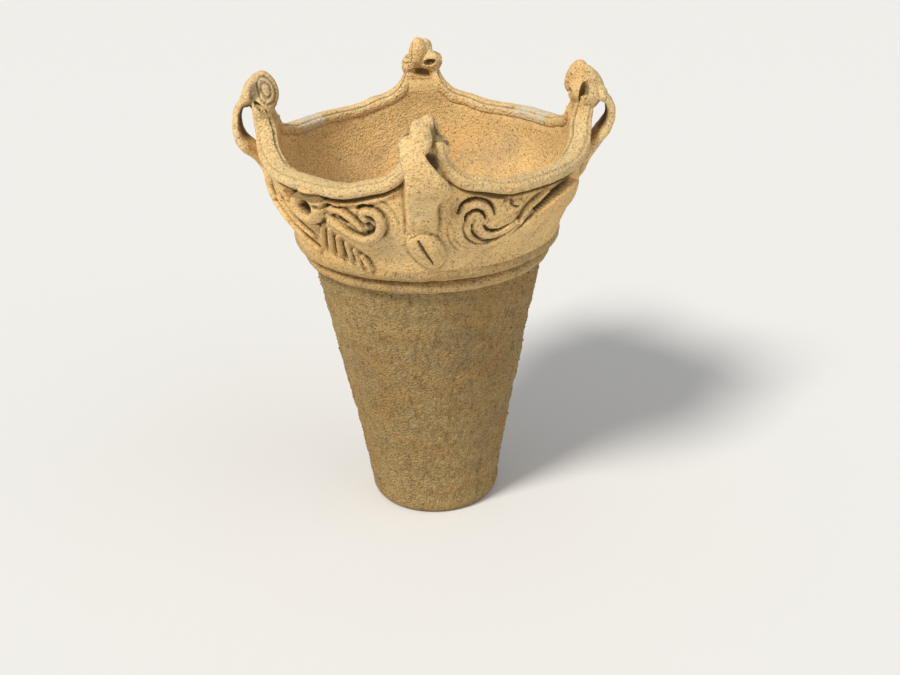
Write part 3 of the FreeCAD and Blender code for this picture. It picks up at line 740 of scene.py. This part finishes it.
def make_peak(place, turn, settings):
    """Head of a peak with its strap handle, worked into one lump of clay."""
    shape = bmesh.new()
    for lobe in HEAD_LOBES:
        ball(shape, *lobe)
    strap_points, strap_faces = strap_sweep()
    corners = [shape.verts.new(Vector(point) * MM) for point in strap_points]
    for face in strap_faces:
        shape.faces.new([corners[index] for index in face])
    mesh = bpy.data.meshes.new("peak_clay")
    shape.to_mesh(mesh)
    shape.free()
    outward(mesh)
    lump = bpy.data.objects.new("peak_lump", mesh)
    bpy.context.scene.collection.objects.link(lump)
    remesh = lump.modifiers.new("worked", "REMESH")
    remesh.mode = "VOXEL"
    remesh.voxel_size = settings.head_grain * MM
    smooth = lump.modifiers.new("wiped", "SMOOTH")
    smooth.iterations = 6
    smooth.factor = 0.5
    worked = bpy.data.meshes.new_from_object(lump.evaluated_get(
        bpy.context.evaluated_depsgraph_get()))
    bpy.data.objects.remove(lump)
    points = np.empty(len(worked.vertices) * 3)
    worked.vertices.foreach_get("co", points)
    points = points.reshape(-1, 3) / MM
    points, pit = pressed(points, HEAD_PITS)
    points, lines = ring_lines(points)
    unit = points - HEAD_MIDDLE
    unit /= np.linalg.norm(unit, axis=1, keepdims=True)
    points += unit * (lumps(points, 9.0, 3, turn / 90.0 + 1.0) * 0.5)[:, None]
    worked_points = points.copy()
    top = POT_TOP - 0.1 - WORN_TOPS.get(place, 0.0)
    above = np.maximum(points[:, 2] - WORN_FROM, 0.0)
    points[:, 2] -= above * (POT_TOP - top) / (POT_TOP - WORN_FROM)
    points[:, 2] = np.minimum(points[:, 2], top)
    points = turned(points, turn)
    faces = [tuple(polygon.vertices) for polygon in worked.polygons]
    piece = make_piece("peak_%s_clay" % place, points, faces, "relief_clay",
                       ["peak_head_" + place, "strap_handle_" + place])
    # Painted shade: darker in the pressed pits, in the incised ovals, on the lobe under the strap and
    # in the slot of the loop.
    shade = sum(share * soft_step(1.1, 0.7, np.linalg.norm(
        (worked_points - np.array(centre)) / size, axis=1)) for centre, size, share in HEAD_SHADES)
    paint_hollow_shade(piece, np.clip(pit * 1.2 + lines * 0.6 + shade, 0.0, 0.95))
    return piece


# Geometry node trees


def new_tree(name, inputs):
    """Geometry node tree with named inputs and a mesh output."""
    tree = bpy.data.node_groups.new(name, "GeometryNodeTree")
    tree.interface.new_socket("Geometry", in_out="INPUT", socket_type="NodeSocketGeometry")
    for label, kind, value in inputs:
        socket = tree.interface.new_socket(label, in_out="INPUT", socket_type=kind)
        if value is not None:
            socket.default_value = value
    tree.interface.new_socket("Geometry", in_out="OUTPUT", socket_type="NodeSocketGeometry")
    return tree


def add_node(tree, kind, links=None, **settings):
    """Node with its settings, and its inputs linked or set by name."""
    node = tree.nodes.new(kind)
    for label, value in settings.items():
        setattr(node, label, value)
    for label, value in (links or {}).items():
        socket = node.inputs[label]
        if isinstance(value, bpy.types.NodeSocket):
            tree.links.new(value, socket)
        else:
            socket.default_value = value
    return node


CORDONS = {
    # ring radius, coil's half depth and half height, height of the ring, seed
    "lower_cordon": (80.8, 4.8, 4.3, 195.0, 1.0),
    "upper_cordon": (85.0, 6.6, 5.6, 206.4, 5.0),
}
CORDON_LUMPS = 2.2
GRAIN_RADII = (0.32, 0.85)
GRAIN_SEED = 3


def cordon_tree():
    """Coil of clay laid round the neck, with a lumpy pressed skin."""
    tree = new_tree("neck_cordon", [
        ("Ring Radius", "NodeSocketFloat", 0.08), ("Coil Depth", "NodeSocketFloat", 0.006),
        ("Coil Height", "NodeSocketFloat", 0.006), ("Ring Height", "NodeSocketFloat", 0.2),
        ("Lumps", "NodeSocketFloat", 0.0008), ("Seed", "NodeSocketFloat", 1.0),
        ("Clay", "NodeSocketMaterial", None)])
    given = tree.nodes.new("NodeGroupInput").outputs
    ring = add_node(tree, "GeometryNodeCurvePrimitiveCircle",
                    {"Resolution": 720, "Radius": given["Ring Radius"]})
    section = add_node(tree, "GeometryNodeCurvePrimitiveCircle", {"Resolution": 28, "Radius": 1.0})
    size = add_node(tree, "ShaderNodeCombineXYZ",
                    {"X": given["Coil Depth"], "Y": given["Coil Height"], "Z": 1.0})
    pressed_section = add_node(tree, "GeometryNodeTransform",
                               {"Geometry": section.outputs["Curve"], "Scale": size.outputs[0]})
    coil = add_node(tree, "GeometryNodeCurveToMesh", {
        "Curve": ring.outputs["Curve"], "Profile Curve": pressed_section.outputs[0]})
    spot = add_node(tree, "GeometryNodeInputPosition")
    grain = add_node(tree, "ShaderNodeTexNoise", {
        "Vector": spot.outputs[0], "W": given["Seed"], "Scale": 90.0, "Detail": 3.0},
        noise_dimensions="4D")
    centred = add_node(tree, "ShaderNodeMath", {0: grain.outputs["Fac"], 1: 0.5},
                       operation="SUBTRACT")
    push = add_node(tree, "ShaderNodeMath", {0: centred.outputs[0], 1: given["Lumps"]},
                    operation="MULTIPLY")
    normal = add_node(tree, "GeometryNodeInputNormal")
    offset = add_node(tree, "ShaderNodeVectorMath", {0: normal.outputs[0],
                                                     "Scale": push.outputs[0]}, operation="SCALE")
    lift = add_node(tree, "ShaderNodeCombineXYZ", {"X": 0.0, "Y": 0.0, "Z": given["Ring Height"]})
    both = add_node(tree, "ShaderNodeVectorMath", {0: offset.outputs[0], 1: lift.outputs[0]},
                    operation="ADD")
    placed = add_node(tree, "GeometryNodeSetPosition", {
        "Geometry": coil.outputs[0], "Offset": both.outputs[0]})
    finish_tree(tree, placed.outputs[0], given["Clay"])
    return tree


def finish_tree(tree, shape, clay):
    """End a tree with plain geometry in its material."""
    plain = add_node(tree, "GeometryNodeRealizeInstances", {"Geometry": shape})
    painted = add_node(tree, "GeometryNodeSetMaterial", {
        "Geometry": plain.outputs[0], "Material": clay})
    out = tree.nodes.new("NodeGroupOutput")
    tree.links.new(painted.outputs[0], out.inputs[0])


def from_tree(name, tree, values, base=None):
    """Plain mesh object from a node tree and its named values."""
    mesh = base or bpy.data.meshes.new(name + "_base")
    maker = bpy.data.objects.new(name + "_maker", mesh)
    bpy.context.scene.collection.objects.link(maker)
    modifier = maker.modifiers.new("nodes", "NODES")
    modifier.node_group = tree
    for item in tree.interface.items_tree:
        if item.item_type == "SOCKET" and item.in_out == "INPUT" and item.name in values:
            modifier[item.identifier] = values[item.name]
    maker.update_tag()
    result = bpy.data.meshes.new_from_object(maker.evaluated_get(
        bpy.context.evaluated_depsgraph_get()))
    bpy.data.objects.remove(maker)
    result.name = name
    piece = bpy.data.objects.new(name, result)
    bpy.context.scene.collection.objects.link(piece)
    return piece


def grit_tree():
    """Grains of temper that stand out of the fired skin."""
    tree = new_tree("temper_grit", [
        ("Grains per Area", "NodeSocketFloat", 20000.0), ("Least", "NodeSocketFloat", 0.0003),
        ("Most", "NodeSocketFloat", 0.0008), ("Seed", "NodeSocketInt", 3),
        ("Clay", "NodeSocketMaterial", None)])
    given = tree.nodes.new("NodeGroupInput").outputs
    outside = add_node(tree, "GeometryNodeInputNamedAttribute", {"Name": "gritty"},
                       data_type="FLOAT")
    density = add_node(tree, "ShaderNodeMath", {
        0: given["Grains per Area"], 1: outside.outputs[0]}, operation="MULTIPLY")
    spread = add_node(tree, "GeometryNodeDistributePointsOnFaces", {
        "Mesh": given["Geometry"], "Density": density.outputs[0], "Seed": given["Seed"]},
        distribute_method="RANDOM")
    grain = add_node(tree, "GeometryNodeMeshIcoSphere", {"Radius": 1.0, "Subdivisions": 1})
    size = add_node(tree, "FunctionNodeRandomValue", {
        2: given["Least"], 3: given["Most"], "Seed": given["Seed"]}, data_type="FLOAT")
    grains = add_node(tree, "GeometryNodeInstanceOnPoints", {
        "Points": spread.outputs["Points"], "Instance": grain.outputs[0],
        "Rotation": spread.outputs["Rotation"], "Scale": size.outputs[1]})
    finish_tree(tree, grains.outputs[0], given["Clay"])
    return tree


# Finishes


def clay_material(name, colour, tints, grain_depth, patch_scale=14.0, marks=0.0):
    """Matt fired clay: drifting colour, coarse grain, specks, painted shade in the hollows and pits.
    """
    pale, orange, grey, dark = tints
    material = bpy.data.materials.new(name)
    material.use_nodes = True
    tree = material.node_tree
    shader = tree.nodes["Principled BSDF"]
    shader.inputs["Specular IOR Level"].default_value = 0.2
    spot = add_node(tree, "ShaderNodeTexCoord").outputs["Object"]

    def pattern(scale, detail=4.0, rough=0.6, stretch=None, shift=0.0):
        where = add_node(tree, "ShaderNodeMapping", {
            "Vector": spot, "Scale": stretch or (1.0, 1.0, 1.0),
            "Location": (shift, -shift, shift)}).outputs[0]
        return add_node(tree, "ShaderNodeTexNoise", {
            "Vector": where, "Scale": scale, "Detail": detail, "Roughness": rough}).outputs["Fac"]

    def ramp(value, low, high, most=1.0):
        return add_node(tree, "ShaderNodeMapRange", {
            "Value": value, "From Min": low, "From Max": high, "To Max": most}).outputs[0]

    def mixed(first, second, amount):
        node = add_node(tree, "ShaderNodeMix", data_type="RGBA")
        for socket, value in ((node.inputs[6], first), (node.inputs[7], second),
                              (node.inputs[0], amount)):
            if isinstance(value, bpy.types.NodeSocket):
                tree.links.new(value, socket)
            else:
                socket.default_value = value
        return node.outputs[2]

    def shaded(share):
        return (*[value * share for value in colour], 1.0)

    shade = mixed(shaded(1.0), (*pale, 1.0), ramp(pattern(patch_scale), 0.40, 0.66))
    shade = mixed(shade, (*orange, 1.0), ramp(pattern(patch_scale * 0.9, 5.0, shift=3.1),
                                              0.50, 0.72, 0.65))
    shade = mixed(shade, (*grey, 1.0), ramp(pattern(patch_scale * 1.7, 6.0, shift=7.7),
                                            0.54, 0.74, 0.6))
    if marks:
        bands = pattern(30.0, 4.0, 0.65, (1.0, 1.0, 3.6), 5.3)
        shade = mixed(shade, (*orange, 1.0), ramp(bands, 0.47, 0.62, marks))
        shade = mixed(shade, (*dark, 1.0), ramp(
            pattern(240.0, 3.0, 0.6, (1.0, 1.0, 0.4), 1.7), 0.50, 0.66, marks))
    shade = mixed(shade, shaded(0.58), ramp(pattern(360.0, 5.0, 0.7), 0.50, 0.66, 0.7))
    shade = mixed(shade, (*pale, 1.0), ramp(pattern(520.0, 3.0, 0.6, shift=2.2), 0.56, 0.68, 0.6))
    shade = mixed(shade, (*dark, 1.0), ramp(pattern(780.0, 2.0, 0.5, shift=9.4),
                                            0.60, 0.66, 0.75))
    # Painted shade: the stored hollow depth darkens the colour towards a dark brown.
    hollow_shade = add_node(tree, "ShaderNodeAttribute", attribute_name="hollow_shade").outputs["Fac"]
    shade = mixed(shade, (*[value * 0.35 for value in dark], 1.0), ramp(hollow_shade, 0.05, 1.0, 0.92))
    worn = add_node(tree, "ShaderNodeAttribute", attribute_name="worn").outputs["Fac"]
    fill = add_node(tree, "ShaderNodeMath", {0: worn, 1: pattern(260.0, 4.0, shift=4.4)},
                    operation="MULTIPLY").outputs[0]
    shade = mixed(shade, FILLING_COLOUR, ramp(fill, 0.3, 0.55, 0.7))
    tree.links.new(shade, shader.inputs["Base Color"])
    rough = add_node(tree, "ShaderNodeMapRange", {
        "Value": pattern(220.0, 3.0), "To Min": 0.78, "To Max": 0.97})
    tree.links.new(rough.outputs[0], shader.inputs["Roughness"])
    coarse = pattern(430.0, 5.0, 0.7)
    cells = add_node(tree, "ShaderNodeTexVoronoi", {"Vector": spot, "Scale": 600.0})
    both = add_node(tree, "ShaderNodeMath", {0: coarse, 1: cells.outputs["Distance"]},
                    operation="ADD")
    bump = add_node(tree, "ShaderNodeBump", {
        "Height": both.outputs[0], "Strength": 1.0, "Distance": grain_depth * MM})
    tree.links.new(bump.outputs[0], shader.inputs["Normal"])
    return material


def plain_material(name, colour):
    """Even matt material."""
    material = bpy.data.materials.new(name)
    material.use_nodes = True
    shader = material.node_tree.nodes["Principled BSDF"]
    shader.inputs["Base Color"].default_value = (*colour, 1.0)
    shader.inputs["Roughness"].default_value = 0.9
    return material


# Settings


class JarSizes(bpy.types.PropertyGroup):
    rim_low: FloatProperty(name="Valley Height", default=267.5, min=255.0, max=275.0,
                           description="Top of the rim in the middle of a valley, in mm")
    lip_height: FloatProperty(name="Lip Height", default=8.0, min=4.0, max=12.0,
                              description="Thickness of the rim lip from top to underside, in mm")
    crown_columns: IntProperty(name="Crown Columns", default=900, min=200, max=900,
                               description="Steps round the crown")
    grit: FloatProperty(name="Grit", default=60000.0, min=0.0, max=100000.0,
                        description="Grains of temper on a square metre of the lower body")
    head_grain: FloatProperty(name="Head Grain", default=0.7, min=0.4, max=2.0,
                              description="Size of the grid that joins a head's lumps, in mm")


class JarColours(bpy.types.PropertyGroup):
    # The crown's colour is paler than its clay: painted light, as falls on the upper part of the pot.
    crown: FloatVectorProperty(name="Crown", subtype="COLOR", default=(0.74, 0.50, 0.215),
                               description="Smoothed clay of the crown", min=0.0, max=1.0)
    relief: FloatVectorProperty(name="Relief", subtype="COLOR", default=(0.76, 0.55, 0.265),
                                description="Clay of the lips and heads", min=0.0, max=1.0)
    cordon: FloatVectorProperty(name="Cordon", subtype="COLOR", default=(0.58, 0.40, 0.175),
                                description="Clay of the neck cordons", min=0.0, max=1.0)
    # The body's colour is darker than the same clay on the crown: painted shade, as falls on the body
    # under the crown's overhang.
    body: FloatVectorProperty(name="Body", subtype="COLOR", default=(0.41, 0.285, 0.12),
                              description="Clay of the lower body", min=0.0, max=1.0)
    # Soot colour for the specks; darkened, it is also the colour of the painted shade in the hollows.
    soot_and_shade: FloatVectorProperty(name="Soot", subtype="COLOR", default=(0.16, 0.095, 0.045),
                              description="Sooty specks and dirt", min=0.0, max=1.0)


class JarStage(bpy.types.PropertyGroup):
    focal: FloatProperty(name="Focal Length", default=50.0, min=20.0, max=135.0,
                         description="Camera focal length on a 36 mm sensor")
    key_power: FloatProperty(name="Key Lamp", default=2.7, min=0.0, max=20.0,
                             description="Strength of the soft upper left lamp")
    fill_power: FloatProperty(name="Fill Lamp", default=0.35, min=0.0, max=20.0,
                              description="Strength of the very soft right-hand lamp")
    sky: FloatProperty(name="Sky", default=0.42, min=0.0, max=2.0,
                       description="Strength of the even light from all sides")


# Operators


class JarPiece:
    bl_options = {"REGISTER", "UNDO"}

    @classmethod
    def poll(cls, context):
        return context.scene is not None


class OBJECT_OT_jar_finishes(JarPiece, bpy.types.Operator):
    """Make the fired clay finishes"""

    bl_idname = "object.jar_finishes"
    bl_label = "Clay Finishes"

    def execute(self, context):
        colours = context.scene.jar_colours

        def tinted(colour, pale=1.25):
            """Pale, orange and grey drifts of a colour, and the soot colour, which also darkens the
            painted shade.
            """
            return ([min(value * pale, 1.0) for value in colour],
                    [colour[0] * 1.08, colour[1] * 0.80, colour[2] * 0.50],
                    [colour[0] * 0.62, colour[1] * 0.68, colour[2] * 0.98],
                    tuple(colours.soot_and_shade))

        for slot_name, colour, grain, patch, marks in (
                ("body_clay", colours.body, 1.5, 12.0, 0.4),
                ("cordon_clay", colours.cordon, 1.2, 18.0, 0.2),
                ("crown_clay", colours.crown, 0.55, 14.0, 0.0),
                ("relief_clay", colours.relief, 0.75, 16.0, 0.0)):
            clay_material(FINISHES[slot_name], tuple(colour), tinted(colour), grain, patch, marks)
        return {"FINISHED"}


class OBJECT_OT_jar_body(JarPiece, bpy.types.Operator):
    """Make the tapered lower body and its base"""

    bl_idname = "object.jar_body"
    bl_label = "Lower Body"

    def execute(self, context):
        sizes = context.scene.jar_sizes
        body = make_lower_body()
        least, most = GRAIN_RADII
        grit = from_tree("body_grit", grit_tree(), {
            "Grains per Area": sizes.grit, "Least": least * MM, "Most": most * MM,
            "Seed": GRAIN_SEED, "Clay": bpy.data.materials[FINISHES["body_clay"]]}, body.data.copy())
        finish_piece(grit, "body_clay", [])
        return {"FINISHED"}


class OBJECT_OT_jar_crown(JarPiece, bpy.types.Operator):
    """Make the crown wall with its scrolls, spirals, ribs and bosses"""

    bl_idname = "object.jar_crown"
    bl_label = "Crown Wall"

    def execute(self, context):
        make_crown(context.scene.jar_sizes)
        return {"FINISHED"}


class OBJECT_OT_jar_cordons(JarPiece, bpy.types.Operator):
    """Make the two clay bands about the neck"""

    bl_idname = "object.jar_cordons"
    bl_label = "Neck Cordons"

    def execute(self, context):
        tree = cordon_tree()
        for name, (radius, depth, height, up, seed) in CORDONS.items():
            coil = from_tree(name + "_coil", tree, {
                "Ring Radius": radius * MM, "Coil Depth": depth * MM, "Coil Height": height * MM,
                "Ring Height": up * MM, "Lumps": CORDON_LUMPS * MM, "Seed": seed,
                "Clay": bpy.data.materials[FINISHES["cordon_clay"]]})
            outward(coil.data)
            finish_piece(coil, "cordon_clay", [name])
        return {"FINISHED"}


class OBJECT_OT_jar_lips(JarPiece, bpy.types.Operator):
    """Make the four rim lips"""

    bl_idname = "object.jar_lips"
    bl_label = "Rim Lips"

    def execute(self, context):
        for place, valley in VALLEYS.items():
            lip = make_rim_lip(place, valley, context.scene.jar_sizes)
            outward(lip.data)
        return {"FINISHED"}


class OBJECT_OT_jar_peaks(JarPiece, bpy.types.Operator):
    """Make the four peaks with their heads and strap handles"""

    bl_idname = "object.jar_peaks"
    bl_label = "Peaks"

    def execute(self, context):
        for place, turn in PEAKS.items():
            make_peak(place, turn, context.scene.jar_sizes)
        return {"FINISHED"}


class OBJECT_OT_jar_stage(JarPiece, bpy.types.Operator):
    """Make the floor, the lamps and the camera"""

    bl_idname = "object.jar_stage"
    bl_label = "Stage"

    def execute(self, context):
        stage = context.scene.jar_stage
        scene = context.scene
        scene.view_settings.view_transform = "Standard"
        world = bpy.data.worlds.new("studio")
        world.use_nodes = True
        background = world.node_tree.nodes["Background"]
        background.inputs["Color"].default_value = (0.93, 0.94, 0.96, 1.0)
        background.inputs["Strength"].default_value = stage.sky
        scene.world = world
        mesh = bpy.data.meshes.new("floor")
        mesh.from_pydata([(FLOOR_REACH * x, FLOOR_REACH * y, 0.0)
                          for x, y in ((-1, -1), (1, -1), (1, 1), (-1, 1))], [], [(0, 1, 2, 3)])
        mesh.materials.append(plain_material("pale_floor", (0.80, 0.80, 0.79)))
        floor = bpy.data.objects.new("floor", mesh)
        scene.collection.objects.link(floor)
        for name, place, angle, power, colour in (
                ("key", (-0.62, -0.62, 1.0), 16.0, stage.key_power, (1.0, 0.96, 0.89)),
                ("fill", (0.9, -0.5, 0.9), 60.0, stage.fill_power, (0.96, 0.98, 1.0))):
            lamp = bpy.data.lights.new(name, "SUN")
            lamp.angle = math.radians(angle)
            lamp.energy = power
            lamp.color = colour
            holder = bpy.data.objects.new(name, lamp)
            aim = -Vector(place)
            holder.matrix_world = (Matrix.Translation(place)
                                   @ aim.to_track_quat("-Z", "Y").to_matrix().to_4x4())
            scene.collection.objects.link(holder)
        make_camera(scene, stage)
        return {"FINISHED"}


FLOOR_REACH = 6.0
CAMERA_PLACE = Vector((0.0, -0.818, 0.5073))
CAMERA_PITCH = 25.31
CAMERA_YAW = 0.9716
CAMERA_ROLL = 1.5


def make_camera(scene, stage):
    """Camera at the photograph's angle."""
    pitch = math.radians(CAMERA_PITCH)
    yaw = math.radians(CAMERA_YAW)
    roll = math.radians(CAMERA_ROLL)
    ahead = Vector((math.sin(yaw) * math.cos(pitch), math.cos(yaw) * math.cos(pitch),
                    -math.sin(pitch)))
    right = Vector((math.cos(yaw), -math.sin(yaw), 0.0))
    up = right.cross(ahead)
    side = right * math.cos(roll) - up * math.sin(roll)
    top = right * math.sin(roll) + up * math.cos(roll)
    lens = bpy.data.cameras.new("camera")
    lens.lens = stage.focal
    lens.sensor_width = 36.0
    lens.clip_start = 0.05
    camera = bpy.data.objects.new("camera", lens)
    camera.matrix_world = Matrix((
        (side.x, top.x, -ahead.x, CAMERA_PLACE.x),
        (side.y, top.y, -ahead.y, CAMERA_PLACE.y),
        (side.z, top.z, -ahead.z, CAMERA_PLACE.z),
        (0.0, 0.0, 0.0, 1.0)))
    scene.collection.objects.link(camera)
    scene.camera = camera
    return camera


class VIEW3D_PT_jar(bpy.types.Panel):
    bl_label = "Clay Jar"
    bl_idname = "VIEW3D_PT_jar"
    bl_space_type = "VIEW_3D"
    bl_region_type = "UI"
    bl_category = "Clay Jar"

    def draw(self, context):
        for group in (context.scene.jar_sizes, context.scene.jar_colours,
                      context.scene.jar_stage):
            box = self.layout.box()
            for name in group.bl_rna.properties.keys():
                if name not in {"name", "rna_type"}:
                    box.prop(group, name)
        for operator in OPERATORS:
            self.layout.operator(operator.bl_idname)


GROUPS = (JarSizes, JarColours, JarStage)
OPERATORS = (OBJECT_OT_jar_finishes, OBJECT_OT_jar_body, OBJECT_OT_jar_crown,
             OBJECT_OT_jar_cordons, OBJECT_OT_jar_lips, OBJECT_OT_jar_peaks,
             OBJECT_OT_jar_stage)


def register():
    for group in (*GROUPS, *OPERATORS, VIEW3D_PT_jar):
        bpy.utils.register_class(group)
    bpy.types.Scene.jar_sizes = PointerProperty(type=JarSizes)
    bpy.types.Scene.jar_colours = PointerProperty(type=JarColours)
    bpy.types.Scene.jar_stage = PointerProperty(type=JarStage)


def unregister():
    del bpy.types.Scene.jar_stage
    del bpy.types.Scene.jar_colours
    del bpy.types.Scene.jar_sizes
    for group in reversed((*GROUPS, *OPERATORS, VIEW3D_PT_jar)):
        bpy.utils.unregister_class(group)


def main():
    register()
    for operator in OPERATORS:
        category, name = operator.bl_idname.split(".")
        getattr(getattr(bpy.ops, category), name)()


if __name__ == "__main__":
    main()
